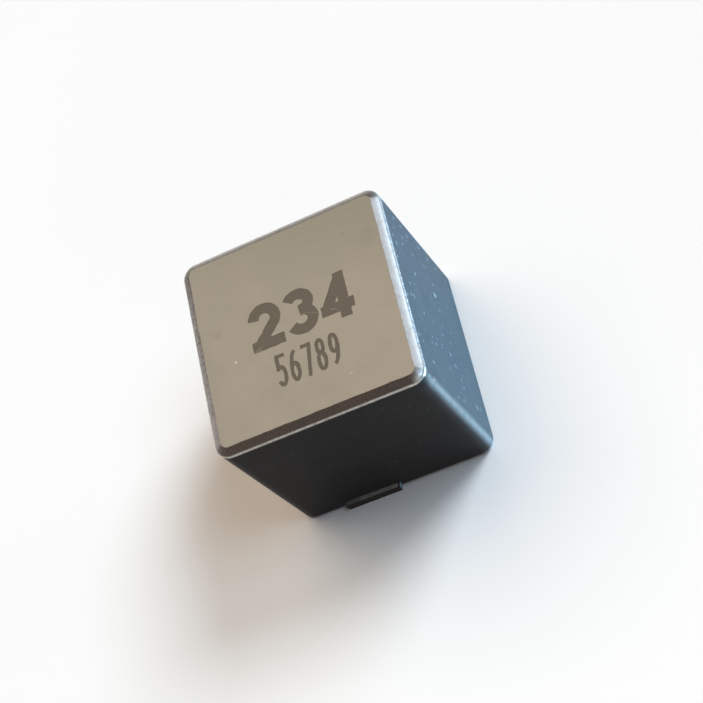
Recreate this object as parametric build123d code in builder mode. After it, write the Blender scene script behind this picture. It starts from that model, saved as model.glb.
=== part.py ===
from build123d import *

import os
from math import cos, radians, sin

# Surface-mount power inductor in a ferrite block: a cap with five closed sides, an inner
# core whose post carries an edge-wound copper strip, and two tinned strips that bring the
# ends of the winding down through the base. Sizes are in millimetres. X runs along the
# long direction of the marking, Z points out of the ground top face, and Z = 0 is the
# board surface that the two solder pads stand on.

os.makedirs("parts", exist_ok=True)

# Outer form of the block
body_side = 10.0
body_height = 9.2
upright_edge_radius = 0.7
chamfer_run = 0.38
chamfer_drop = 0.22
lip_radius = 0.1
base_edge_radius = 0.12

# Cap
side_wall = 1.3
roof_thickness = 1.8
pocket_corner_radius = 1.0

# Inner core
flange_thickness = 1.9
flange_edge_chamfer = 0.25
post_root_radius = 0.3
post_rim_chamfer = 0.15
centre_gap = 0.24

# Glued joint between the flange and the cap
joint_gap = 0.08
bead_recess = 0.06

# Winding
strip_width = 1.4
strip_thickness = 0.6
strip_corner_break = 0.1
coil_post_clearance = 0.1
coil_wall_clearance = 0.2
free_end_angle = 225
end_turn_angle = 60
full_turns = 3
turn_remainder_angle = 120

# Terminals
terminal_width = 2.8
terminal_thickness = 0.5
terminal_overhang = 0.2
standoff = 0.1
bend_radius = 0.15
tab_overlap = 0.9
riser_wall_clearance = 0.08
riser_slot_clearance = 0.1
slot_corner_radius = 0.15
terminal_edge_break = 0.05
coil_end_clearance = 0.15
notch_clearance = 0.08

# Levels above the board
base_level = standoff
top_level = base_level + body_height
roof_level = top_level - roof_thickness
flange_level = base_level + flange_thickness
post_level = roof_level - centre_gap
front_tab_level = flange_level + coil_end_clearance
coil_level = front_tab_level + terminal_thickness
coil_top_level = roof_level - coil_end_clearance - terminal_thickness

# Plan sizes that follow from the clearances
coil_outer_radius = body_side / 2 - side_wall - coil_wall_clearance
coil_middle_radius = coil_outer_radius - strip_width / 2
post_radius = coil_outer_radius - strip_width - coil_post_clearance
riser_inner = coil_outer_radius + bend_radius
riser_outer = riser_inner + terminal_thickness
pocket_width = body_side - 2 * side_wall
pocket_length = 2 * (riser_outer + riser_wall_clearance)
flange_width = pocket_width - 2 * joint_gap
flange_length = pocket_length - 2 * joint_gap
flange_corner_radius = pocket_corner_radius - joint_gap
slot_width = terminal_width + 2 * riser_slot_clearance
terminal_offset = pocket_width / 2 - pocket_corner_radius - terminal_width / 2

# Heights and angles of the winding
helix_angle = 360 * full_turns + turn_remainder_angle
helix_rise = coil_top_level - coil_level - strip_thickness
coil_pitch = helix_rise * 360 / helix_angle
helix_start_angle = free_end_angle + end_turn_angle
helix_end_angle = helix_start_angle + helix_angle

# Each terminal is given by the corner of the block that it points to, in X and Y.
front_side = (-1, -1)
rear_side = (1, 1)


def radial_plane(angle):
    """Upright plane through the post's axis: local X points away from the axis, local Y up."""
    turn = radians(angle)
    return Plane(origin=(0, 0, 0), x_dir=(cos(turn), sin(turn), 0), z_dir=(sin(turn), -cos(turn), 0))


def strip_section(angle, underside):
    """Cross section of the winding's strip at one angle round the post."""
    with BuildSketch(radial_plane(angle)) as section:
        with Locations((coil_middle_radius, underside + strip_thickness / 2)):
            Rectangle(strip_width, strip_thickness)
        chamfer(section.vertices(), strip_corner_break)
    return section.sketch


def formed_strip(corner, tab_middle):
    """Terminal: a pad under the wall, a riser beside the winding and a tab across its end turn."""
    toward_x, toward_y = corner
    pad_middle = terminal_thickness / 2
    riser_middle = toward_y * (riser_inner + terminal_thickness / 2)
    pad_end = toward_y * (body_side / 2 + terminal_overhang)
    tab_end = toward_y * (coil_outer_radius - tab_overlap)
    strip_middle = toward_x * terminal_offset
    with BuildPart() as strip:
        with BuildLine(Plane.YZ.offset(strip_middle)) as bends:
            FilletPolyline(
                (pad_end, pad_middle),
                (riser_middle, pad_middle),
                (riser_middle, tab_middle),
                (tab_end, tab_middle),
                radius=bend_radius + terminal_thickness / 2,
            )
        with BuildSketch(Plane(origin=bends.line @ 0, x_dir=(1, 0, 0), z_dir=bends.line % 0)) as section:
            Rectangle(terminal_width, terminal_thickness)
            chamfer(section.vertices(), terminal_edge_break)
        sweep(path=bends.line)
    return strip


def glue_bead(toward_x):
    """Hardened glue in the joint between one side of the flange and the cap."""
    flange_face = toward_x * flange_width / 2
    wall_face = toward_x * pocket_width / 2
    groove_face = toward_x * (flange_width / 2 - flange_edge_chamfer + bead_recess)
    with BuildPart() as bead:
        with BuildSketch(Plane.XZ):
            with BuildLine():
                Polyline(
                    (wall_face, base_level + bead_recess),
                    (wall_face, flange_level),
                    (flange_face, flange_level),
                    (flange_face, base_level + flange_edge_chamfer),
                    (groove_face, base_level + bead_recess),
                    close=True,
                )
            make_face()
        extrude(amount=flange_length / 2 - flange_corner_radius, both=True)
    return bead


# Cap: pressed and sintered, its top ground flat inside a shallow chamfer.
with BuildPart() as shell_core:
    with BuildSketch(Plane.XY.offset(base_level)):
        RectangleRounded(body_side, body_side, upright_edge_radius)
    extrude(amount=body_height)
    ground_face = shell_core.faces().sort_by(Axis.Z)[-1]
    chamfer(ground_face.edges(), length=chamfer_run, length2=chamfer_drop, reference=ground_face)
    level_edges = shell_core.edges().filter_by(Plane.XY).group_by(Axis.Z)
    fillet(level_edges[-2], lip_radius)
    fillet(level_edges[0], base_edge_radius)
    with BuildSketch(Plane.XY.offset(base_level)):
        RectangleRounded(pocket_width, pocket_length, pocket_corner_radius)
    extrude(amount=body_height - roof_thickness, mode=Mode.SUBTRACT)
    # Notches that let the solder pads pass under the front and the rear wall
    with BuildSketch(Plane.XY.offset(base_level)):
        for toward_x, toward_y in (front_side, rear_side):
            with Locations((toward_x * terminal_offset, toward_y * body_side / 2)):
                Rectangle(slot_width, body_side - 2 * riser_outer)
    extrude(amount=terminal_thickness - standoff + notch_clearance, mode=Mode.SUBTRACT)

# Inner core: a flange that closes the cap, and the round post inside the winding.
with BuildPart() as post_core:
    with BuildSketch(Plane.XY.offset(base_level)):
        RectangleRounded(flange_width, flange_length, flange_corner_radius)
    extrude(amount=flange_thickness)
    chamfer(post_core.faces().sort_by(Axis.Z)[0].edges(), flange_edge_chamfer)
    with BuildSketch(Plane.XY.offset(flange_level)):
        Circle(post_radius)
    extrude(amount=post_level - flange_level)
    post_edges = post_core.edges().filter_by(GeomType.CIRCLE).sort_by(SortBy.LENGTH)[-2:].sort_by(Axis.Z)
    fillet(post_edges[0], post_root_radius)
    chamfer(post_core.faces().sort_by(Axis.Z)[-1].edges(), post_rim_chamfer)
    slot_floor = riser_inner - riser_slot_clearance
    slot_reach = flange_length / 2 - slot_floor
    with BuildSketch(Plane.XY.offset(base_level)):
        for toward_x, toward_y in (front_side, rear_side):
            with Locations((toward_x * terminal_offset, toward_y * flange_length / 2)):
                RectangleRounded(slot_width, 2 * slot_reach, slot_corner_radius)
    extrude(amount=flange_thickness, mode=Mode.SUBTRACT)

# Winding: rectangular strip wound on edge, its first and last stretch lying flat where
# the terminals are welded to it.
helix_path = Helix(
    coil_pitch, helix_rise, coil_middle_radius, center=(0, 0, coil_level + strip_thickness / 2)
).rotate(Axis.Z, helix_start_angle)
with BuildPart() as winding:
    sweep(strip_section(helix_start_angle, coil_level), path=helix_path, is_frenet=True)
    revolve(strip_section(free_end_angle, coil_level), Axis.Z, revolution_arc=end_turn_angle)
    last_level = coil_top_level - strip_thickness
    revolve(strip_section(helix_end_angle, last_level), Axis.Z, revolution_arc=end_turn_angle)

# Spacer film that sets the magnetic gap between the post and the roof of the cap.
with BuildPart() as gap_spacer:
    with BuildSketch(Plane.XY.offset(post_level)):
        Circle(post_radius)
    extrude(amount=centre_gap)

terminal_front = formed_strip(front_side, front_tab_level + terminal_thickness / 2)
terminal_rear = formed_strip(rear_side, coil_top_level + terminal_thickness / 2)
adhesive_left = glue_bead(-1)
adhesive_right = glue_bead(1)

# One file for each piece, named after its node
shell_core.part.label = "shell_core"
post_core.part.label = "post_core"
winding.part.label = "winding"
gap_spacer.part.label = "gap_spacer"
terminal_front.part.label = "terminal_front"
terminal_rear.part.label = "terminal_rear"
adhesive_left.part.label = "adhesive_left"
adhesive_right.part.label = "adhesive_right"
export_step(shell_core.part, "parts/shell_core.step")
export_step(post_core.part, "parts/post_core.step")
export_step(winding.part, "parts/winding.step")
export_step(gap_spacer.part, "parts/gap_spacer.step")
export_step(terminal_front.part, "parts/terminal_front.step")
export_step(terminal_rear.part, "parts/terminal_rear.step")
export_step(adhesive_left.part, "parts/adhesive_left.step")
export_step(adhesive_right.part, "parts/adhesive_right.step")
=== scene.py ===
from math import ceil, cos, pi, radians, sin, tan

import bmesh
import bpy
from mathutils import Matrix, Vector, noise
from mathutils.geometry import delaunay_2d_cdt


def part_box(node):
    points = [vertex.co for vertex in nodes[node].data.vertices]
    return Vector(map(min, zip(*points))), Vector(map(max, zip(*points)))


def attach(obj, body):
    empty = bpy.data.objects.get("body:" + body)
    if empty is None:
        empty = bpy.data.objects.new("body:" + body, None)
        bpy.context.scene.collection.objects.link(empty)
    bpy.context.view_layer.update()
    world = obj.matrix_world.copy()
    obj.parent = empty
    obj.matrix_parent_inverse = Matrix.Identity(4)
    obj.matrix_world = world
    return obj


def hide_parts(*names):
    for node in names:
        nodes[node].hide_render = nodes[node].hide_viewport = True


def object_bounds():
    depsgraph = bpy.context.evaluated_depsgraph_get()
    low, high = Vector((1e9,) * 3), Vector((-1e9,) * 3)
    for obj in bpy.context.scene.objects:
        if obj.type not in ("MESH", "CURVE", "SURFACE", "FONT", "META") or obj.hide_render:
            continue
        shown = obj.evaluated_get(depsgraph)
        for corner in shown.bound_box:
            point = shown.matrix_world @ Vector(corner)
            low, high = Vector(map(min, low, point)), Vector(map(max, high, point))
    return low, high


# Looks of a surface-mount power inductor in a ferrite block. Sizes of the form are written in
# millimetres and turned into metres by MM. X runs along the marking, Z up, and Z = 0 is the
# surface that the two solder pads stand on.

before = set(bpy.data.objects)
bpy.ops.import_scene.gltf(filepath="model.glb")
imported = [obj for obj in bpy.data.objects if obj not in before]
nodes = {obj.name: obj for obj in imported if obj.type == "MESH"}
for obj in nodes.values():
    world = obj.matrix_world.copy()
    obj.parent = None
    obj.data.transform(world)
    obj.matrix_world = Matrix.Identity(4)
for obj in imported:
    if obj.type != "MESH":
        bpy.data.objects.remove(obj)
cad_low, cad_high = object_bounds()

MM = 0.001
PER_MM = 1 / MM

# Camera, as fitted to the outline of the block
CAMERA_PLACE = Vector((19.468, -34.619, 65.029)) * MM
CAMERA_AHEAD = Vector((-0.2605, 0.4816, -0.8368))
CAMERA_UP = Vector((0.3646, 0.8516, 0.3767))
CAMERA_LENS = 80.166

# Form of the ferrite cap
UPRIGHT_EDGE_RADIUS = 0.7
CHAMFER_RUN = 0.38
CHAMFER_DROP = 0.22
LIP_RADIUS = 0.1
GROUND_EDGE_RADIUS = 0.02
BASE_EDGE_RADIUS = 0.12
POCKET_CORNER_RADIUS = 1.0
PAD_THICKNESS = 0.5
CUT_FACE_DEPTH = 0.02
NOTCH_CLEARANCE = 0.08
SLOT_CLEARANCE = 0.1
CUT_MARGIN = 0.5

# Fineness of the cap's mesh. GUARD is the width of the narrow strips beside each rounding.
CORNER_STEPS = 16
SIDE_STEPS = 110
WALL_STEPS = 10
ARC_STEPS = 6
BRIM_STEPS = 3
BOW_STEPS = 24
GUARD = 0.03

# Rings round the border of the ground face: those of its rounding, one outside and one inside
BORDER_RINGS = BRIM_STEPS + 3

# Edges that turn by less than this are shaded smooth
SMOOTH_LIMIT = radians(28)

# Wear and painted highlight of the upright edges, starting with the rear right one: where on the corner's
# arc it peaks, as a share of the arc, and how strong it is there. On the front right edge it is mostly a
# painted highlight.
CORNER_WEAR_AND_HIGHLIGHT = ((0.5, 0.5), (0.42, 0.6), (0.55, 0.1), (0.56, 1.0))
CORNER_WEAR_AND_HIGHLIGHT_REACH = 0.25

# Wear and painted highlight of the lip below the ground face, and how far the pale rub goes on over the
# chamfer of each side and of the corner after it, starting with the right side and going round
# counter-clockwise. The rub is partly a painted glint, above all on the right chamfer and at the front
# right corner.
LIP_WEAR_AND_HIGHLIGHT_DEPTH = 0.12
WEAR_AND_HIGHLIGHT_BELOW_LIP = 0.7
CHAMFER_RUB_AND_GLINT = (0.3, 0.65, 0.2, 0.0)
CORNER_RUB_AND_GLINT = (0.15, 0.25, 0.05, 1.0)
RUB_AND_GLINT_AT_LIP = 1.0
RUB_AND_GLINT_AT_MIDDLE = 0.4
RUB_AND_GLINT_AT_BRIM = 0.1

# Nicks and ripples of the lip, pressed in towards a point of the middle axis NICK_DROP below it
NICK_PER_MM = 1.7
NICK_THRESHOLD = 0.3
NICK_DEPTH = 0.03
NICK_DROP = 2.0
RIPPLE_PER_MM = 5.0
RIPPLE_DEPTH = 0.005

# Fray of the border of the ground face, and the finer pattern laid over it
FRAY_PER_MM = 2.3
FRAY_REACH = 0.02
FINE_FRAY_RATIO = 2.7
FINE_FRAY_SHARE = 0.5

# Finishes of the cap, by the place of their material
SKIN = 0
GROUND = 1
MARK = 2
RIM = 3

# Marking: two rows of plain digits burnt into the ground face, as text, left and right end, foot,
# height, width of a digit and stroke
MARK_ROWS = (
    ("234", -2.25, 2.8, -0.83, 2.29, 1.6, 0.52),
    ("56789", -1.4, 1.67, -2.9, 1.6, 0.5, 0.18),
)
MARK_DEPTH = 0.008
NOISE_SEED = 1
MARK_STEP = 0.06
RAGGED_PER_MM = 5.0
RAGGED_REACH = 0.022

# Degrees of an arc of a little over half a turn: two such arcs close a ring
HALF_RING = 182

# Triangulation of the ground face: triangles within its border alone, and how near points merge
TRIANGLES_INSIDE = 1
MERGE_DISTANCE = 1e-5

# Ragged outline of spots and flecks
SMEAR_PER_MM = 9.0
SPOT_SMEAR = 0.08
FLECK_SMEAR = 0.16

# Smallest pale fleck, as a share of the largest
SMALLEST_FLECK = 0.35

# Where the skin turns to the painted cool light of the right side, a slate blue copy of its charcoal, and
# the rim to its cool painted reflection
LIT_SIDE_BAND = (4.2, 4.9)
COOL_REFLECTION_BAND = (4.4, 4.8)

# Stretch of the grinding lines and of the lines drawn into the tin, and turn of the grinding lines
GRINDING_STRETCH = (0.5, 7.0, 1.0)
GRINDING_TURN = radians(18)
DRAWN_STRETCH = (14.0, 0.8, 0.8)

# Spots on the ground face and scratches of the marking: middle, reach along and across, turn, share
PALE_SPECKS = (
    ((-3.18, -0.85), (0.08, 0.06), 0.0, 0.8),
    ((1.9, -3.5), (0.07, 0.05), 0.0, 0.5),
    ((-2.0, -0.72), (0.3, 0.1), 0.4, 0.25),
    ((1.78, -0.24), (0.26, 0.025), -0.45, 0.6),
    ((0.6, 0.1), (0.5, 0.02), -0.3, 0.35),
    ((0.95, -0.05), (0.34, 0.018), -0.32, 0.4),
)
DARK_SPECKS = (
    ((-3.8, 0.8), (0.3, 0.22), 0.2, 0.16),
    ((2.96, 3.2), (0.1, 0.06), -0.6, 0.45),
    ((1.95, 1.65), (0.06, 0.05), 0.0, 0.4),
    ((4.1, 2.6), (0.5, 0.7), 0.0, 0.12),
)

# Pale flecks on the right side, partly painted glints of pores: place along Y and Z, reach, share
SIDE_FLECKS = (
    (1.67, 3.86, 0.18, 0.9),
    (-3.46, 7.38, 0.13, 0.55),
    (-2.75, 8.15, 0.10, 0.45),
    (-2.0, 6.15, 0.11, 0.6),
    (-1.83, 5.29, 0.08, 0.45),
    (-2.67, 4.84, 0.11, 0.35),
    (-0.67, 6.76, 0.11, 0.45),
    (-0.25, 7.62, 0.10, 0.45),
    (0.42, 7.75, 0.11, 0.5),
    (1.58, 6.43, 0.12, 0.6),
    (2.33, 8.24, 0.12, 0.7),
    (2.63, 8.52, 0.10, 0.7),
    (2.79, 7.25, 0.10, 0.6),
    (3.83, 6.11, 0.13, 0.5),
    (-0.75, 3.45, 0.10, 0.35),
    (0.08, 2.84, 0.11, 0.35),
    (-3.46, 1.77, 0.18, 0.5),
)

# Lamps: name, direction towards the lamp, irradiance, apparent width, colour
LAMPS = (
    ("cool_key", (0.59, 0.48, 0.65), 2.3, radians(25), (0.87, 0.985, 1.08)),
    ("corner_glint", (0.54, 0.0, 0.84), 0.65, radians(28), (0.75, 1.0, 1.2)),
    ("warm_panel", (-0.27, 0.48, 0.83), 1.2, radians(50), (1.2, 1.0, 0.78)),
    ("left_fill", (-0.95, 0.3, -0.05), 0.6, radians(30), (1.05, 1.0, 0.95)),
    ("cool_bounce", (0.55, 0.12, -0.83), 0.92, radians(24), (0.6, 0.94, 1.2)),
    ("edge_glint", (0.549, 0.0, -0.836), 1.6, radians(14), (0.45, 0.8, 1.0)),
    ("cool_sheen", (0.27, 0.48, -0.83), 0.45, radians(40), (0.3, 0.95, 1.6)),
    ("under_lamp", (0.0, 0.0, -1.0), 1.0, radians(10), (1.0, 1.0, 1.0)),
)

# World: the dim warm light that it gives, and the white that the eye and mirrors see
SHADE = (0.13, 0.10, 0.085, 1)
BACKDROP = (0.93, 0.93, 0.93, 1)

# Floor: radius in metres, how far it lies below the pads in millimetres, and its colours, the last
# of them the one in the light that it throws back
FLOOR_RADIUS = 3.0
FLOOR_SINK = 0.01
FLOOR_SEGMENTS = 96
FLOOR_PALE = (0.90, 0.90, 0.90, 1)
FLOOR_PALER = (0.93, 0.93, 0.93, 1)
FLOOR_CALM = (0.05, 0.045, 0.04, 1)

# Axes by number, and the sockets of the Mix node for colours: share, two colours and result
X, Y, Z = range(3)
MIX_INPUTS = (0, 6, 7)
MIX_RESULT = 2


def linear(red, green, blue):
    """Scene colour of a screen colour given in steps from 0 to 255."""
    channels = []
    for step in (red, green, blue):
        share = step / 255
        channels.append(share / 12.92 if share <= 0.04045 else ((share + 0.055) / 1.055) ** 2.4)
    return (*channels, 1.0)


class Finish:
    """A material and short calls for the nodes that feed its Principled shader."""

    def __init__(self, name, **settings):
        self.material = bpy.data.materials.new(name)
        self.material.use_nodes = True
        self.tree = self.material.node_tree
        self.shader = self.tree.nodes["Principled BSDF"]
        self.place = self.add("ShaderNodeTexCoord").outputs["Object"]
        self.set(**settings)

    def add(self, kind, inputs=None, **settings):
        node = self.tree.nodes.new(kind)
        for name, value in settings.items():
            setattr(node, name, value)
        for name, value in (inputs or {}).items():
            self.feed(node.inputs[name], value)
        return node

    def feed(self, socket, value):
        if isinstance(value, bpy.types.NodeSocket):
            self.tree.links.new(value, socket)
        else:
            socket.default_value = value

    def set(self, **inputs):
        for name, value in inputs.items():
            self.feed(self.shader.inputs[name.replace("_", " ")], value)

    def along(self, axis):
        return self.add("ShaderNodeSeparateXYZ", {"Vector": self.place}).outputs[axis]

    def fade(self, axis, low, high, to_low=0.0, to_high=1.0):
        """Share that changes along one axis, between two places in millimetres."""
        return self.ramp(self.along(axis), low * MM, high * MM, to_low, to_high)

    def stretched(self, scale, turn=0.0):
        """Place in millimetres, turned about Z and stretched along the axes."""
        turning = {"Vector": self.place, "Angle": turn}
        turned = self.add("ShaderNodeVectorRotate", turning, rotation_type="Z_AXIS").outputs[0]
        stretching = {"Vector": turned, "Scale": Vector(scale) * PER_MM}
        return self.add("ShaderNodeMapping", stretching).outputs[0]

    def shifted(self, per_mm, reach):
        """Place shifted by a fine pattern, so that what is drawn there gets a ragged outline."""
        inputs = {"Vector": self.place, "Scale": per_mm * PER_MM, "Detail": 2.0}
        pattern = self.add("ShaderNodeTexNoise", inputs).outputs["Color"]
        centred = self.vector_math("SUBTRACT", {0: pattern, 1: (0.5, 0.5, 0.5)})[0]
        shift = self.vector_math("SCALE", {0: centred, "Scale": reach * MM})[0]
        return self.vector_math("ADD", {0: self.place, 1: shift})[0]

    def noise(self, per_mm, detail=4.0, roughness=0.55, place=None, distortion=0.0):
        inputs = {"Detail": detail, "Roughness": roughness, "Distortion": distortion}
        if place is None:
            inputs.update({"Vector": self.place, "Scale": per_mm * PER_MM})
        else:
            inputs.update({"Vector": place, "Scale": per_mm})
        return self.add("ShaderNodeTexNoise", inputs).outputs[0]

    def ramp(self, value, low, high, to_low=0.0, to_high=1.0):
        inputs = {"Value": value, "From Min": low, "From Max": high, "To Min": to_low, "To Max": to_high}
        return self.add("ShaderNodeMapRange", inputs, interpolation_type="SMOOTHSTEP").outputs[0]

    def math(self, operation, *values):
        node = self.add("ShaderNodeMath", operation=operation)
        for socket, value in zip(node.inputs, values):
            self.feed(socket, value)
        return node.outputs[0]

    def vector_math(self, operation, inputs):
        return self.add("ShaderNodeVectorMath", inputs, operation=operation).outputs

    def blend(self, share, first, second):
        node = self.add("ShaderNodeMix", data_type="RGBA")
        for number, value in zip(MIX_INPUTS, (share, first, second)):
            self.feed(node.inputs[number], value)
        return node.outputs[MIX_RESULT]

    def patch(self, place, middle, reach, turn=0.0):
        """Share of a soft ellipsoid, 1 in its core and 0 beyond its reach along each axis.

        Its middle and its reach are in millimetres.
        """
        inputs = {
            "Vector": place,
            "Location": Vector(middle) * MM,
            "Rotation": (0, 0, turn),
            "Scale": Vector(reach) * MM,
        }
        local = self.add("ShaderNodeMapping", inputs, vector_type="TEXTURE").outputs[0]
        away = self.vector_math("LENGTH", {0: local})["Value"]
        return self.ramp(away, 0.5, 1.0, 1.0, 0.0)

    def bump(self, height, distance):
        node = self.add("ShaderNodeBump", {"Height": height, "Distance": distance * MM})
        self.feed(self.shader.inputs["Normal"], node.outputs[0])


def worn_and_highlight(finish):
    """Share of wear and painted highlight, broken up by a fine pattern."""
    broken = finish.ramp(finish.noise(2.2, detail=6.0, roughness=0.7), 0.25, 0.55, 0.5, 1.0)
    share = finish.add("ShaderNodeAttribute", attribute_name="wear_and_highlight").outputs["Fac"]
    return finish.math("MULTIPLY", share, broken)


def flecks(finish, place, per_mm, reach, lowest_chance):
    """Share of small pale flecks of uneven size and strength, at most reach cells wide.

    A cell holds one where its own random number is above the lowest chance.
    """
    cells = finish.add("ShaderNodeTexVoronoi", {"Vector": place, "Scale": per_mm * PER_MM})
    parts = finish.add("ShaderNodeSeparateXYZ", {"Vector": cells.outputs["Color"]}).outputs
    size = finish.ramp(parts[1], 0.0, 1.0, SMALLEST_FLECK * reach, reach)
    near = finish.math("SUBTRACT", 1.0, finish.math("DIVIDE", cells.outputs["Distance"], size))
    chosen = finish.ramp(parts[0], lowest_chance, 1.0, 0.0, 1.0)
    return finish.math("MULTIPLY", finish.ramp(near, 0.0, 0.8), chosen)


def spotted(finish, base, spots, colour):
    """Base colour with flat spots laid over it, at the level of the ground face."""
    level = cad_high.z * PER_MM
    shifted = finish.shifted(SMEAR_PER_MM, SPOT_SMEAR)
    for (x, y), (reach_x, reach_y), turn, share in spots:
        mask = finish.patch(shifted, (x, y, level), (reach_x, reach_y, 1.0), turn)
        base = finish.blend(finish.math("MULTIPLY", mask, share), base, colour)
    return base


def skin_flecks(finish, lit_right_side):
    """Share of pale flecks on the skin: many on the lit right side, where they are partly painted glints,
    fewer of them towards the base.
    """
    shifted = finish.shifted(SMEAR_PER_MM, FLECK_SMEAR)
    coarse = flecks(finish, shifted, 1.0, 0.17, 0.4)
    fine = flecks(finish, shifted, 2.0, 0.26, 0.4)
    sparse = finish.fade(Z, 1.0, 6.0, 0.25, 0.8)
    strength = finish.math("MULTIPLY_ADD", lit_right_side, sparse, 0.1)
    specks = finish.math("MULTIPLY", finish.math("MAXIMUM", coarse, fine), strength)
    for y, z, reach, share in SIDE_FLECKS:
        mask = finish.patch(shifted, (cad_high.x * PER_MM, y, z), (reach, reach, reach))
        specks = finish.math("MAXIMUM", specks, finish.math("MULTIPLY", mask, share))
    return specks


def ferrite_skin():
    """Pressed and sintered skin of the sides: fine grained charcoal, with pale flecks.

    The right side is slate blue as painted cool light, most of all towards its front and its upper edge,
    and darker towards the rear and the base as painted shade.
    """
    finish = Finish("ferrite_skin", IOR=1.18)
    clouds = finish.noise(0.35, detail=3.0)
    grain = finish.noise(9.0, detail=5.0, roughness=0.7)
    stains = finish.noise(1.5, detail=5.0, roughness=0.65)
    # The right side gets a slate blue copy of the charcoal as painted cool light, fading towards the rear
    # and the base as painted shade
    lit_right_side = finish.fade(X, *LIT_SIDE_BAND)
    towards_rear = finish.fade(Y, 0.5, 5.0, 1.0, 0.75)
    towards_top = finish.fade(Z, 0.0, 8.0, 0.75, 1.0)
    painted_cool_light = finish.math("MULTIPLY", lit_right_side, finish.math("MULTIPLY", towards_rear, towards_top))
    charcoal = finish.blend(finish.ramp(clouds, 0.3, 0.7), linear(36, 34, 34), linear(42, 41, 42))
    charcoal = finish.blend(finish.ramp(stains, 0.4, 0.75, 0.0, 0.6), charcoal, linear(49, 48, 50))
    blue = finish.blend(finish.ramp(clouds, 0.3, 0.7), linear(46, 50, 56), linear(53, 59, 67))
    blue = finish.blend(finish.ramp(stains, 0.4, 0.7, 0.0, 0.7), blue, linear(64, 72, 82))
    base = finish.blend(painted_cool_light, charcoal, blue)
    pale_grain = finish.blend(painted_cool_light, linear(57, 56, 58), linear(68, 76, 87))
    base = finish.blend(finish.ramp(grain, 0.3, 0.75, 0.0, 0.3), base, pale_grain)
    base = finish.blend(skin_flecks(finish, lit_right_side), base, linear(158, 170, 182))
    # Pale band of the upright edges: wear, and on the front right edge mostly a painted highlight
    base = finish.blend(worn_and_highlight(finish), base, linear(174, 184, 196))
    finish.set(Base_Color=base, Roughness=finish.ramp(grain, 0.3, 0.7, 0.43, 0.53))
    finish.bump(finish.math("ADD", grain, finish.math("MULTIPLY", clouds, 0.5)), 0.004)
    return finish.material


def ferrite_rim():
    """Chamfer round the ground face and its outer lip: the same ferrite, burnished brown and glossier.

    Where it is rubbed it is pale and partly metallic. This pale rub is also a painted highlight: the
    bright lip lines, the band of the right chamfer and the glint at the front right corner. Its cooler
    tone on the right side is a painted reflection of cool light.
    """
    finish = Finish("ferrite_rim", IOR=1.5)
    clouds = finish.noise(0.6, detail=4.0)
    grain = finish.noise(7.0, detail=5.0, roughness=0.7)
    rubbed_and_glint = worn_and_highlight(finish)
    base = finish.blend(finish.ramp(clouds, 0.3, 0.7), linear(49, 34, 22), linear(62, 44, 30))
    base = finish.blend(finish.ramp(grain, 0.35, 0.8, 0.0, 0.2), base, linear(80, 66, 56))
    # Pale rubbed colour, partly painted highlight, turned cool on the right side as a painted reflection
    bare = finish.blend(finish.fade(X, *COOL_REFLECTION_BAND), linear(208, 203, 196), linear(198, 215, 227))
    base = finish.blend(rubbed_and_glint, base, bare)
    finish.set(Base_Color=base, Metallic=finish.math("MULTIPLY", rubbed_and_glint, 0.7))
    finish.set(Roughness=finish.ramp(grain, 0.3, 0.7, 0.24, 0.32))
    finish.bump(grain, 0.002)
    return finish.material


def ground_ferrite():
    """Ground top: warm grey, darker towards the rear, with fine slanting grinding lines and specks."""
    finish = Finish("ferrite_ground", IOR=1.5)
    clouds = finish.noise(0.22, detail=3.0)
    stains = finish.noise(0.75, detail=4.0, roughness=0.6)
    lines = finish.stretched(GRINDING_STRETCH, GRINDING_TURN)
    streaks = finish.noise(1.0, detail=4.0, roughness=0.65, place=lines)
    grain = finish.noise(14.0, detail=4.0, roughness=0.7)
    base = finish.blend(finish.ramp(clouds, 0.3, 0.7), linear(127, 119, 102), linear(137, 125, 109))
    base = finish.blend(finish.fade(X, -3.0, 5.0, 0.0, 0.6), base, linear(145, 131, 114))
    slanting = finish.math("MULTIPLY_ADD", finish.along(X), 0.35, finish.along(Y))
    base = finish.blend(finish.ramp(slanting, 0.4 * MM, 6.0 * MM, 0.0, 0.92), base, linear(111, 105, 86))
    base = finish.blend(finish.ramp(stains, 0.35, 0.7, 0.0, 0.3), base, linear(116, 110, 93))
    base = finish.blend(finish.ramp(streaks, 0.3, 0.7, 0.0, 0.18), base, linear(144, 133, 116))
    base = finish.blend(finish.ramp(grain, 0.35, 0.75, 0.0, 0.18), base, linear(112, 103, 91))
    base = spotted(finish, base, DARK_SPECKS, linear(84, 72, 60))
    base = spotted(finish, base, PALE_SPECKS, linear(196, 188, 174))
    finish.set(Base_Color=base, Roughness=finish.ramp(streaks, 0.3, 0.7, 0.3, 0.38))
    finish.bump(streaks, 0.0008)
    return finish.material


def burnt_mark():
    """Floor of the marking: ferrite burnt dark and matt, with a few later scratches."""
    finish = Finish("burnt_mark", IOR=1.45)
    grain = finish.noise(11.0, detail=4.0, roughness=0.7)
    base = finish.blend(finish.ramp(grain, 0.3, 0.75), linear(68, 57, 43), linear(84, 73, 58))
    base = spotted(finish, base, PALE_SPECKS, linear(140, 130, 116))
    finish.set(Base_Color=base, Roughness=finish.ramp(grain, 0.3, 0.7, 0.5, 0.6))
    finish.bump(grain, 0.003)
    return finish.material


def core_ferrite():
    """Ferrite of the inner core, darker and duller than the outer skin."""
    finish = Finish("ferrite_core", IOR=1.5)
    clouds = finish.noise(0.5, detail=3.0)
    grain = finish.noise(8.0, detail=5.0, roughness=0.7)
    base = finish.blend(finish.ramp(clouds, 0.3, 0.7), linear(50, 50, 51), linear(64, 64, 66))
    base = finish.blend(finish.ramp(grain, 0.35, 0.8, 0.0, 0.3), base, linear(88, 88, 91))
    finish.set(Base_Color=base, Roughness=finish.ramp(grain, 0.3, 0.7, 0.42, 0.55))
    finish.bump(grain, 0.006)
    return finish.material


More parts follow.
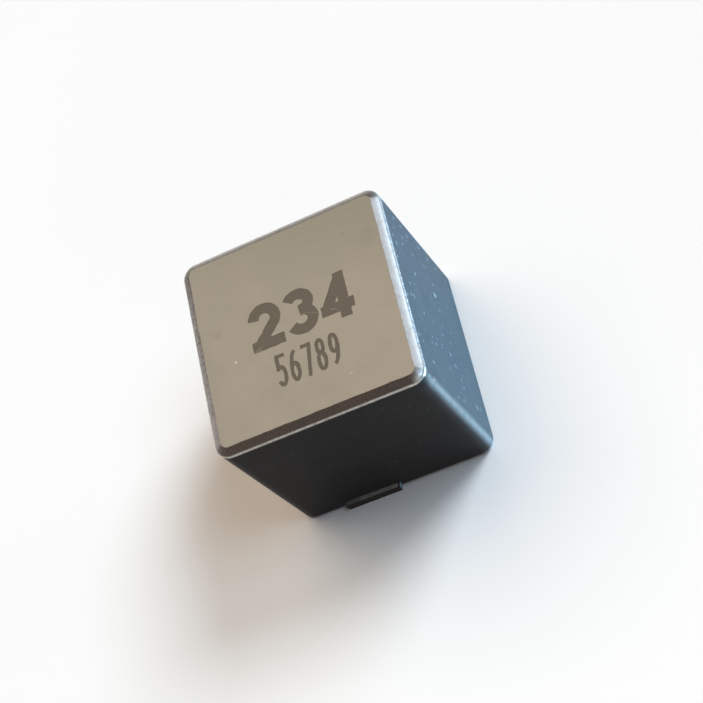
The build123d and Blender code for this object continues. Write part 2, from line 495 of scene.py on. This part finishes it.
def tinned_copper():
    """Matt tin plating with drawn lines and dull patches, brighter where it faces down; its other faces
    are painted darker as shade under the block.

    The sheared sides and the cut ends of the pads are bare dark copper.
    """
    finish = Finish("tinned_copper")
    patches = finish.noise(1.3, detail=5.0, roughness=0.6)
    lines = finish.stretched(DRAWN_STRETCH)
    drawn = finish.noise(1.0, detail=4.0, roughness=0.6, place=lines)
    base = finish.blend(finish.ramp(patches, 0.35, 0.7), linear(104, 103, 100), linear(128, 127, 123))
    normal = finish.add("ShaderNodeNewGeometry").outputs["Normal"]
    facing = finish.add("ShaderNodeSeparateXYZ", {"Vector": normal}).outputs
    # Faces that look down are pale, the rest darker as painted shade under the block
    base = finish.blend(finish.ramp(facing[Z], -0.3, -0.7), base, linear(172, 170, 164))
    on_side = finish.ramp(finish.math("ABSOLUTE", facing[X]), 0.3, 0.6)
    pad_end = cad_high.y - CUT_FACE_DEPTH * MM
    on_end = finish.math("GREATER_THAN", finish.math("ABSOLUTE", finish.along(Y)), pad_end)
    sheared = finish.math("MAXIMUM", on_side, on_end)
    bare = finish.blend(patches, linear(28, 25, 24), linear(46, 40, 37))
    base = finish.blend(sheared, base, bare)
    finish.set(Base_Color=base, Metallic=finish.math("SUBTRACT", 1.0, sheared), Specular_IOR_Level=0.15)
    roughness = finish.ramp(patches, 0.3, 0.7, 0.42, 0.58)
    finish.set(Roughness=finish.math("MULTIPLY_ADD", sheared, 0.2, roughness))
    finish.bump(finish.math("ADD", drawn, patches), 0.004)
    return finish.material


def enamelled_copper():
    """Copper strip under clear amber enamel."""
    finish = Finish("enamelled_copper", Metallic=0.8, Coat_Weight=0.7, Coat_Roughness=0.12)
    patches = finish.noise(0.9, detail=4.0)
    base = finish.blend(finish.ramp(patches, 0.35, 0.7), linear(150, 84, 48), linear(186, 108, 62))
    finish.set(Base_Color=base, Roughness=finish.ramp(patches, 0.3, 0.7, 0.25, 0.38))
    finish.bump(finish.noise(3.0), 0.003)
    return finish.material


def spacer_film():
    """Amber film disc in the magnetic gap."""
    finish = Finish("spacer_film", IOR=1.6)
    patches = finish.noise(1.2, detail=3.0)
    base = finish.blend(finish.ramp(patches, 0.35, 0.7), linear(168, 112, 40), linear(190, 134, 58))
    finish.set(Base_Color=base, Roughness=finish.ramp(patches, 0.3, 0.7, 0.35, 0.45))
    return finish.material


def epoxy_glue():
    """Dark glossy epoxy with a few flow marks."""
    finish = Finish("epoxy_glue", IOR=1.55)
    flow = finish.noise(1.1, detail=3.0, distortion=0.6)
    base = finish.blend(finish.ramp(flow, 0.35, 0.7), linear(34, 31, 29), linear(54, 49, 44))
    finish.set(Base_Color=base, Roughness=finish.ramp(flow, 0.3, 0.7, 0.12, 0.24))
    finish.bump(flow, 0.02)
    return finish.material


def rounded_corner(before, corner, after, radius, steps):
    """Points of the arc that rounds one corner of a flat outline."""
    back = (before - corner).normalized()
    ahead = (after - corner).normalized()
    half = back.angle(ahead) / 2
    reach = radius / tan(half)
    centre = corner + (back + ahead).normalized() * radius / sin(half)
    start = (corner + back * reach - centre).normalized()
    end = (corner + ahead * reach - centre).normalized()
    return [centre + radius * start.slerp(end, step / steps) for step in range(steps + 1)]


def outline_ring(half_x, half_y, radius, level):
    """Closed ring of points round a rectangle with rounded corners, counter-clockwise."""
    points = []
    for quarter in range(4):
        reach_x = half_x if quarter % 2 == 0 else half_y
        reach_y = half_y if quarter % 2 == 0 else half_x
        way = Matrix.Rotation(quarter * pi / 2, 3, "Z")
        length = 2 * (reach_y - radius)
        for step in range(SIDE_STEPS):
            along = length * (step / SIDE_STEPS - 0.5)
            points.append(way @ Vector((reach_x, along, level)))
        for step in range(CORNER_STEPS):
            angle = pi / 2 * step / CORNER_STEPS
            outward = Vector((cos(angle), sin(angle), 0))
            points.append(way @ (Vector((reach_x - radius, reach_y - radius, level)) + radius * outward))
    return points


def cap_profile(base, top):
    """Outer profile of the cap from the base to the ground face.

    Each ring has its inset, level, lip wear and painted highlight, rub and painted glint, and finish. The
    rub is counted only as far as the ring's side is rubbed. The finish is that of the faces between the
    ring and the next one.
    """
    foot = Vector((CHAMFER_RUN, base))
    heel = Vector((0, base))
    lip = Vector((0, top - CHAMFER_DROP))
    brim = Vector((CHAMFER_RUN, top))
    inside = Vector((2 * CHAMFER_RUN, top))
    heel_arc = rounded_corner(foot, heel, lip, BASE_EDGE_RADIUS, ARC_STEPS)
    lip_arc = rounded_corner(heel, lip, brim, LIP_RADIUS, ARC_STEPS)
    brim_arc = rounded_corner(lip, brim, inside, GROUND_EDGE_RADIUS, BRIM_STEPS)
    slope = (brim - lip).normalized()
    wall_start = heel_arc[-1].y + GUARD
    wall_end = lip_arc[0].y - LIP_WEAR_AND_HIGHLIGHT_DEPTH
    profile = [(heel_arc[0].x + GUARD, base, 0.0, 0.0, SKIN)]
    profile += [(*point, 0.0, 0.0, SKIN) for point in heel_arc]
    for step in range(WALL_STEPS):
        profile.append((0.0, wall_start + (wall_end - wall_start) * step / WALL_STEPS, 0.0, 0.0, SKIN))
    profile.append((0.0, wall_end, 0.0, 0.0, RIM))
    profile.append((0.0, wall_end + LIP_WEAR_AND_HIGHLIGHT_DEPTH / 2, WEAR_AND_HIGHLIGHT_BELOW_LIP, 0.0, RIM))
    profile.append((0.0, lip_arc[0].y - GUARD, 1.0, 0.0, RIM))
    for step, point in enumerate(lip_arc):
        share = step / ARC_STEPS
        profile.append((*point, 1.0 - share ** 2, share * RUB_AND_GLINT_AT_LIP, RIM))
    profile.append((*(lip_arc[-1] + slope * GUARD), 0.0, RUB_AND_GLINT_AT_LIP, RIM))
    profile.append((*lip_arc[-1].lerp(brim_arc[0], 0.5), 0.0, RUB_AND_GLINT_AT_MIDDLE, RIM))
    profile.append((*(brim_arc[0] - slope * GUARD), 0.0, RUB_AND_GLINT_AT_BRIM, RIM))
    profile += [(*point, 0.0, RUB_AND_GLINT_AT_BRIM, RIM) for point in brim_arc[:-1]]
    profile.append((*brim_arc[-1], 0.0, RUB_AND_GLINT_AT_BRIM, GROUND))
    profile.append((brim_arc[-1].x + 2 * GUARD, top, 0.0, 0.0, GROUND))
    return profile


def nicked(point, wear_and_highlight):
    """Point of the lip moved inward by the small nicks and ripples that such a pressed edge has."""
    dent = max(0.0, noise.noise(point * NICK_PER_MM) - NICK_THRESHOLD)
    ripple = 0.5 + 0.5 * noise.noise(point * RIPPLE_PER_MM)
    inward = Vector((-point.x, -point.y, -NICK_DROP)).normalized()
    return point + inward * wear_and_highlight * (NICK_DEPTH * dent + RIPPLE_DEPTH * ripple)


def frayed(point):
    """Point of the border of the ground face, moved a little in or out in its own plane."""
    fine = noise.noise(point * FINE_FRAY_RATIO * FRAY_PER_MM)
    shift = noise.noise(point * FRAY_PER_MM) + FINE_FRAY_SHARE * fine
    inward = Vector((-point.x, -point.y, 0)).normalized()
    return point + inward * shift * FRAY_REACH


def corner_wear_and_highlight(number):
    """Wear and painted highlight of the upright edges at one point of a ring: a soft band along each
    rounded corner.
    """
    corner, step = divmod(number, SIDE_STEPS + CORNER_STEPS)
    peak, strength = CORNER_WEAR_AND_HIGHLIGHT[corner]
    share = (step - SIDE_STEPS) / CORNER_STEPS
    if share <= 0:
        return 0.0
    return strength * max(0.0, 1 - ((share - peak) / CORNER_WEAR_AND_HIGHLIGHT_REACH) ** 2) ** 2


def chamfer_rub_and_glint(number):
    """How far the chamfer is rubbed pale at one point of a ring, partly wear and partly a painted glint,
    with a soft change round each corner.
    """
    side, step = divmod(number, SIDE_STEPS + CORNER_STEPS)
    share = 2 * (step - SIDE_STEPS) / CORNER_STEPS - 1
    start = CHAMFER_RUB_AND_GLINT[side]
    if step < SIDE_STEPS:
        return start
    middle = CORNER_RUB_AND_GLINT[side]
    end = CHAMFER_RUB_AND_GLINT[(side + 1) % len(CHAMFER_RUB_AND_GLINT)]
    return max(0.0, -share) * start + (1 - abs(share)) * middle + max(0.0, share) * end


def bow(middle_x, middle_y, reach_x, reach_y, start, end):
    """Points of an elliptical arc between two angles in degrees."""
    points = []
    for step in range(BOW_STEPS + 1):
        angle = radians(start + (end - start) * step / BOW_STEPS)
        points.append((middle_x + reach_x * cos(angle), middle_y + reach_y * sin(angle)))
    return points


def closed_bow(middle_x, middle_y, reach_x, reach_y):
    """Elliptical ring as two arcs that overlap a little."""
    return [bow(middle_x, middle_y, reach_x, reach_y, start, start + HALF_RING) for start in (0, 180)]


def digit_strokes(character):
    """Middle lines of the strokes of one digit, from 0 to 1 both ways.

    What runs past the digit's box is cut off.
    """
    ring = closed_bow(0.5, 0.29, 0.5, 0.29)
    six = [*ring, bow(1.0, 0.29, 1.0, 0.71, 180, 100)]
    strokes = {
        "2": [bow(0.5, 0.71, 0.5, 0.29, 175, -35) + [(-0.1, -0.1)], [(-0.3, 0), (1.3, 0)]],
        "3": [bow(0.45, 0.76, 0.47, 0.24, 155, -90), bow(0.5, 0.27, 0.5, 0.27, 90, -155)],
        "4": [[(0.8, -0.2), (0.8, 1.2)], [(0.8, 1), (0, 0.2)], [(-0.3, 0.2), (1.3, 0.2)]],
        "5": [[(1.3, 1), (0.1, 1)], [(0.12, 1.2), (0.06, 0.5)], bow(0.45, 0.31, 0.55, 0.31, 140, -150)],
        "6": six,
        "7": [[(-0.3, 1), (1.3, 1)], [(1.02, 1.04), (0.3, -0.2)]],
        "8": [*ring, *closed_bow(0.5, 0.77, 0.44, 0.23)],
        "9": [[(1 - x, 1 - y) for x, y in stroke] for stroke in six],
    }
    return strokes[character]


def finely(points, closed=False):
    """Line through the points with a point every few hundredths of a millimetre."""
    fine = []
    for start, end in zip(points, points[1:] + (points[:1] if closed else [])):
        steps = ceil((end - start).length / MARK_STEP)
        fine += [start.lerp(end, step / steps) for step in range(steps)]
    return fine if closed else fine + points[-1:]


def ribbon(middle_line, width):
    """Outline of a stroke with flat ends."""
    left = []
    right = []
    befores = middle_line[:1] + middle_line
    afters = middle_line[1:] + middle_line[-1:]
    for before, point, after in zip(befores, middle_line, afters):
        along = (after - before).normalized()
        aside = Vector((-along.y, along.x)) * width / 2
        left.append(point + aside)
        right.append(point - aside)
    return right + left[::-1]


def ragged(outline):
    """Outline moved a little at random, as a laser leaves it."""
    moved = []
    for point in outline:
        moved.append(point + noise.noise_vector(point.to_3d() * RAGGED_PER_MM).xy * RAGGED_REACH)
    return moved


def marking():
    """Outlines on the ground face, each with its digit, whether it is the digit's box, and its points."""
    outlines = []
    for text, left, right, foot, height, width, stroke_width in MARK_ROWS:
        pitch = (right - left - width) / (len(text) - 1)
        reach_x = width - stroke_width
        reach_y = height - stroke_width
        for number, character in enumerate(text):
            start = Vector((left + pitch * number, foot))
            box = [start + Vector(corner) for corner in ((0, 0), (width, 0), (width, height), (0, height))]
            digit = (character, start.x)
            outlines.append((digit, True, ragged(finely(box, closed=True))))
            inner = start + Vector((stroke_width, stroke_width)) / 2
            for stroke in digit_strokes(character):
                line = [inner + Vector((x * reach_x, y * reach_y)) for x, y in stroke]
                outlines.append((digit, False, ragged(ribbon(finely(line), stroke_width))))
    return outlines


def is_marked(holder, outlines):
    """Whether a cell of the ground face lies in a stroke and in the box of the same digit.

    The holder lists the loops around the cell by number, where loop 0 is the border of the face.
    """
    around = [outlines[index - 1] for index in holder if index > 0]
    boxes = {digit for digit, is_box, _ in around if is_box}
    strokes = {digit for digit, is_box, _ in around if not is_box}
    return bool(boxes & strokes)


def close_top(shape, rim, outlines):
    """Closes the cap inside its last ring, with the marking sunk into the ground face."""
    level = rim[0].co.z
    points = [vertex.co.xy for vertex in rim]
    loops = [list(range(len(rim)))]
    for _, _, outline in outlines:
        loops.append(list(range(len(points), len(points) + len(outline))))
        points += outline
    triangulated = delaunay_2d_cdt(points, [], loops, TRIANGLES_INSIDE, MERGE_DISTANCE)
    flat, _, cells, sources, _, holders = triangulated
    raised = []
    for place, origin in zip(flat, sources):
        known = [index for index in origin if index < len(rim)]
        raised.append(rim[known[0]] if known else shape.verts.new((*place, level)))
    marked = [is_marked(holder, outlines) for holder in holders]
    used = {number for cell, inside in zip(cells, marked) if inside for number in cell}
    sunk = {number: shape.verts.new((*flat[number], level - MARK_DEPTH)) for number in used}
    borders = set()
    for cell, inside in zip(cells, marked):
        corners = [sunk[number] if inside else raised[number] for number in cell]
        shape.faces.new(corners).material_index = MARK if inside else GROUND
        if inside:
            borders.update(zip(cell, cell[1:] + cell[:1]))
    for start, end in borders:
        if (end, start) not in borders:
            wall = (raised[start], raised[end], sunk[end], sunk[start])
            shape.faces.new(wall).material_index = MARK
    bmesh.ops.delete(shape, geom=[vertex for vertex in raised if not vertex.link_faces], context="VERTS")


def join_rings(shape, rings, pocket_rings):
    """Walls of the cap through its rings, with wear, painted highlights and fray, as the rows of their
    vertices.
    """
    wear_and_highlight_layer = shape.verts.layers.float.new("wear_and_highlight")
    rows = []
    for place, (ring, wear_and_highlight, rub_and_glint, finish) in enumerate(rings):
        row = []
        for number, point in enumerate(ring):
            if wear_and_highlight > 0:
                point = nicked(point, wear_and_highlight)
            if place >= len(rings) - BORDER_RINGS:
                point = frayed(point)
            vertex = shape.verts.new(point)
            if finish == SKIN and place >= pocket_rings:
                vertex[wear_and_highlight_layer] = corner_wear_and_highlight(number)
            else:
                vertex[wear_and_highlight_layer] = max(wear_and_highlight, rub_and_glint * chamfer_rub_and_glint(number))
            row.append(vertex)
        rows.append(row)
    for (_, _, _, finish), lower, upper in zip(rings, rows, rows[1:]):
        for number in range(len(lower)):
            following = (number + 1) % len(lower)
            face = shape.faces.new((lower[number], lower[following], upper[following], upper[number]))
            face.material_index = finish
    return rows


def build_cap():
    """Ferrite cap in the form of its CAD solid, with fine edges, worn lips with painted highlights and the
    marking sunk in.
    """
    low, high = (corner * PER_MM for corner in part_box("shell_core"))
    core_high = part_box("post_core")[1] * PER_MM
    pocket_half_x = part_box("adhesive_right")[1].x * PER_MM
    pocket_half_y = core_high.y + pocket_half_x - core_high.x
    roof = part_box("gap_spacer")[1].z * PER_MM
    rings = []
    for level in (roof, low.z):
        ring = outline_ring(pocket_half_x, pocket_half_y, POCKET_CORNER_RADIUS, level)
        rings.append((ring, 0.0, 0.0, SKIN))
    pocket_rings = len(rings)
    for inset, level, wear_and_highlight, rub_and_glint, finish in cap_profile(low.z, high.z):
        reach = high.x - inset
        ring = outline_ring(reach, reach, UPRIGHT_EDGE_RADIUS - inset, level)
        rings.append((ring, wear_and_highlight, rub_and_glint, finish))
    shape = bmesh.new()
    rows = join_rings(shape, rings, pocket_rings)
    shape.faces.new(reversed(rows[0]))
    close_top(shape, rows[-1], marking())
    bmesh.ops.recalc_face_normals(shape, faces=shape.faces)
    cap = as_object(shape, "ferrite_cap")
    for material in (ferrite_skin(), ground_ferrite(), burnt_mark(), ferrite_rim()):
        cap.data.materials.append(material)
    for terminal in ("terminal_front", "terminal_rear"):
        cut_away(cap, notch_cutter(terminal, core_high.y, high.y))
    shade_by_angle(cap.data)
    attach(cap, "root")
    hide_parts("shell_core")


def as_object(shape, name):
    """Object in metres of a shape drawn in millimetres."""
    bmesh.ops.scale(shape, vec=(MM, MM, MM), verts=shape.verts)
    mesh = bpy.data.meshes.new(name)
    shape.to_mesh(mesh)
    shape.free()
    piece = bpy.data.objects.new(name, mesh)
    bpy.context.collection.objects.link(piece)
    return piece


def notch_cutter(terminal, start, end):
    """Block that opens the wall over the pad of one terminal, between two distances from the middle."""
    low, high = (corner * PER_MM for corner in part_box(terminal))
    toward = 1 if high.y > -low.y else -1
    width = high.x - low.x + 2 * SLOT_CLEARANCE
    length = end - start + CUT_MARGIN
    height = PAD_THICKNESS + NOTCH_CLEARANCE + CUT_MARGIN
    middle = Vector(((low.x + high.x) / 2, toward * (start + length / 2), height / 2 - CUT_MARGIN))
    shape = bmesh.new()
    bmesh.ops.create_cube(shape, size=1, matrix=Matrix.LocRotScale(middle, None, (width, length, height)))
    return as_object(shape, "notch_cutter")


def cut_away(piece, cutter):
    """Takes the cutter's space out of the piece and deletes the cutter."""
    for material in piece.data.materials:
        cutter.data.materials.append(material)
    cut = piece.modifiers.new("cut", "BOOLEAN")
    cut.operation = "DIFFERENCE"
    cut.solver = "EXACT"
    cut.object = cutter
    bpy.context.view_layer.update()
    graph = bpy.context.evaluated_depsgraph_get()
    result = bpy.data.meshes.new_from_object(piece.evaluated_get(graph))
    piece.modifiers.clear()
    piece.data = result
    bpy.data.objects.remove(cutter)


def shade_by_angle(mesh):
    """Smooth shading apart from the edges that turn by more than the limit."""
    shape = bmesh.new()
    shape.from_mesh(mesh)
    for face in shape.faces:
        face.smooth = True
    for edge in shape.edges:
        edge.smooth = len(edge.link_faces) == 2 and edge.calc_face_angle() < SMOOTH_LIMIT
    shape.to_mesh(mesh)
    shape.free()


def dress(name, material):
    """Gives a CAD node its finish."""
    for slot in nodes[name].material_slots:
        slot.material = material


def floor_material():
    """Pale floor for the eye and in reflections, calmer in the light that it throws back.

    It stops no lamp light and is clear from below, so the underside can be lit and seen.
    """
    finish = Finish("floor")
    tree = finish.tree
    path = finish.add("ShaderNodeLightPath").outputs
    mirrored = finish.math("MAXIMUM", path["Is Glossy Ray"], path["Is Transmission Ray"])
    seen = finish.math("MAXIMUM", path["Is Camera Ray"], mirrored)
    mottle = finish.ramp(finish.noise(0.02, detail=2.0), 0.3, 0.7)
    colour = finish.blend(seen, FLOOR_CALM, finish.blend(mottle, FLOOR_PALE, FLOOR_PALER))
    matt = finish.add("ShaderNodeBsdfDiffuse", {"Color": colour})
    clear = finish.add("ShaderNodeBsdfTransparent")
    below = finish.add("ShaderNodeNewGeometry").outputs["Backfacing"]
    through = finish.math("MAXIMUM", below, path["Is Shadow Ray"])
    mixed = finish.add("ShaderNodeMixShader", {0: through, 1: matt.outputs[0], 2: clear.outputs[0]})
    tree.links.new(mixed.outputs[0], tree.nodes["Material Output"].inputs["Surface"])
    tree.nodes.remove(finish.shader)
    return finish.material


def build_floor():
    """Round floor just below the pads."""
    mesh = bpy.data.meshes.new("floor")
    ring = []
    for step in range(FLOOR_SEGMENTS):
        angle = 2 * pi * step / FLOOR_SEGMENTS
        ring.append((FLOOR_RADIUS * cos(angle), FLOOR_RADIUS * sin(angle), 0))
    mesh.from_pydata(ring, [], [list(range(FLOOR_SEGMENTS))])
    mesh.materials.append(floor_material())
    floor = bpy.data.objects.new("floor", mesh)
    floor.location.z = -FLOOR_SINK * MM
    bpy.context.collection.objects.link(floor)


def build_lamps():
    """Lamps of a plain studio.

    Only shadow rays pass the floor, so the lamps below it are sampled by those alone.
    """
    for name, toward, strength, width, colour in LAMPS:
        light = bpy.data.lights.new(name, "SUN")
        light.energy = strength
        light.angle = width
        light.color = colour
        light.cycles.use_multiple_importance_sampling = toward[2] > 0
        lamp = bpy.data.objects.new(name, light)
        lamp.rotation_euler = Vector(toward).to_track_quat("Z", "Y").to_euler()
        bpy.context.collection.objects.link(lamp)


def build_world():
    """Even background: white for the eye and in reflections, dim and warm in the light that it gives."""
    world = bpy.data.worlds.new("studio")
    world.use_nodes = True
    tree = world.node_tree
    background = tree.nodes["Background"]
    path = tree.nodes.new("ShaderNodeLightPath").outputs
    mirrored = tree.nodes.new("ShaderNodeMath")
    mirrored.operation = "MAXIMUM"
    tree.links.new(path["Is Glossy Ray"], mirrored.inputs[0])
    tree.links.new(path["Is Transmission Ray"], mirrored.inputs[1])
    seen = tree.nodes.new("ShaderNodeMath")
    seen.operation = "MAXIMUM"
    tree.links.new(path["Is Camera Ray"], seen.inputs[0])
    tree.links.new(mirrored.outputs[0], seen.inputs[1])
    colour = tree.nodes.new("ShaderNodeMixRGB")
    tree.links.new(seen.outputs[0], colour.inputs[0])
    colour.inputs[1].default_value = SHADE
    colour.inputs[2].default_value = BACKDROP
    tree.links.new(colour.outputs[0], background.inputs["Color"])
    bpy.context.scene.world = world


def build_camera():
    """Camera at the viewing angle of the photograph."""
    data = bpy.data.cameras.new("camera")
    data.lens = CAMERA_LENS
    data.clip_start = MM
    camera = bpy.data.objects.new("camera", data)
    ahead = CAMERA_AHEAD.normalized()
    right = ahead.cross(CAMERA_UP).normalized()
    turn = Matrix((right, right.cross(ahead), -ahead)).transposed()
    camera.matrix_world = Matrix.LocRotScale(CAMERA_PLACE, turn, None)
    bpy.context.collection.objects.link(camera)
    bpy.context.scene.camera = camera


# Vector noise starts from random offsets, so its seed is set to get the same outlines each run.
noise.seed_set(NOISE_SEED)
build_cap()
dress("post_core", core_ferrite())
dress("winding", enamelled_copper())
dress("gap_spacer", spacer_film())
tin = tinned_copper()
dress("terminal_front", tin)
dress("terminal_rear", tin)
glue = epoxy_glue()
dress("adhesive_left", glue)
dress("adhesive_right", glue)
build_floor()
build_lamps()
build_world()
build_camera()
bpy.context.scene.view_settings.view_transform = "Standard"
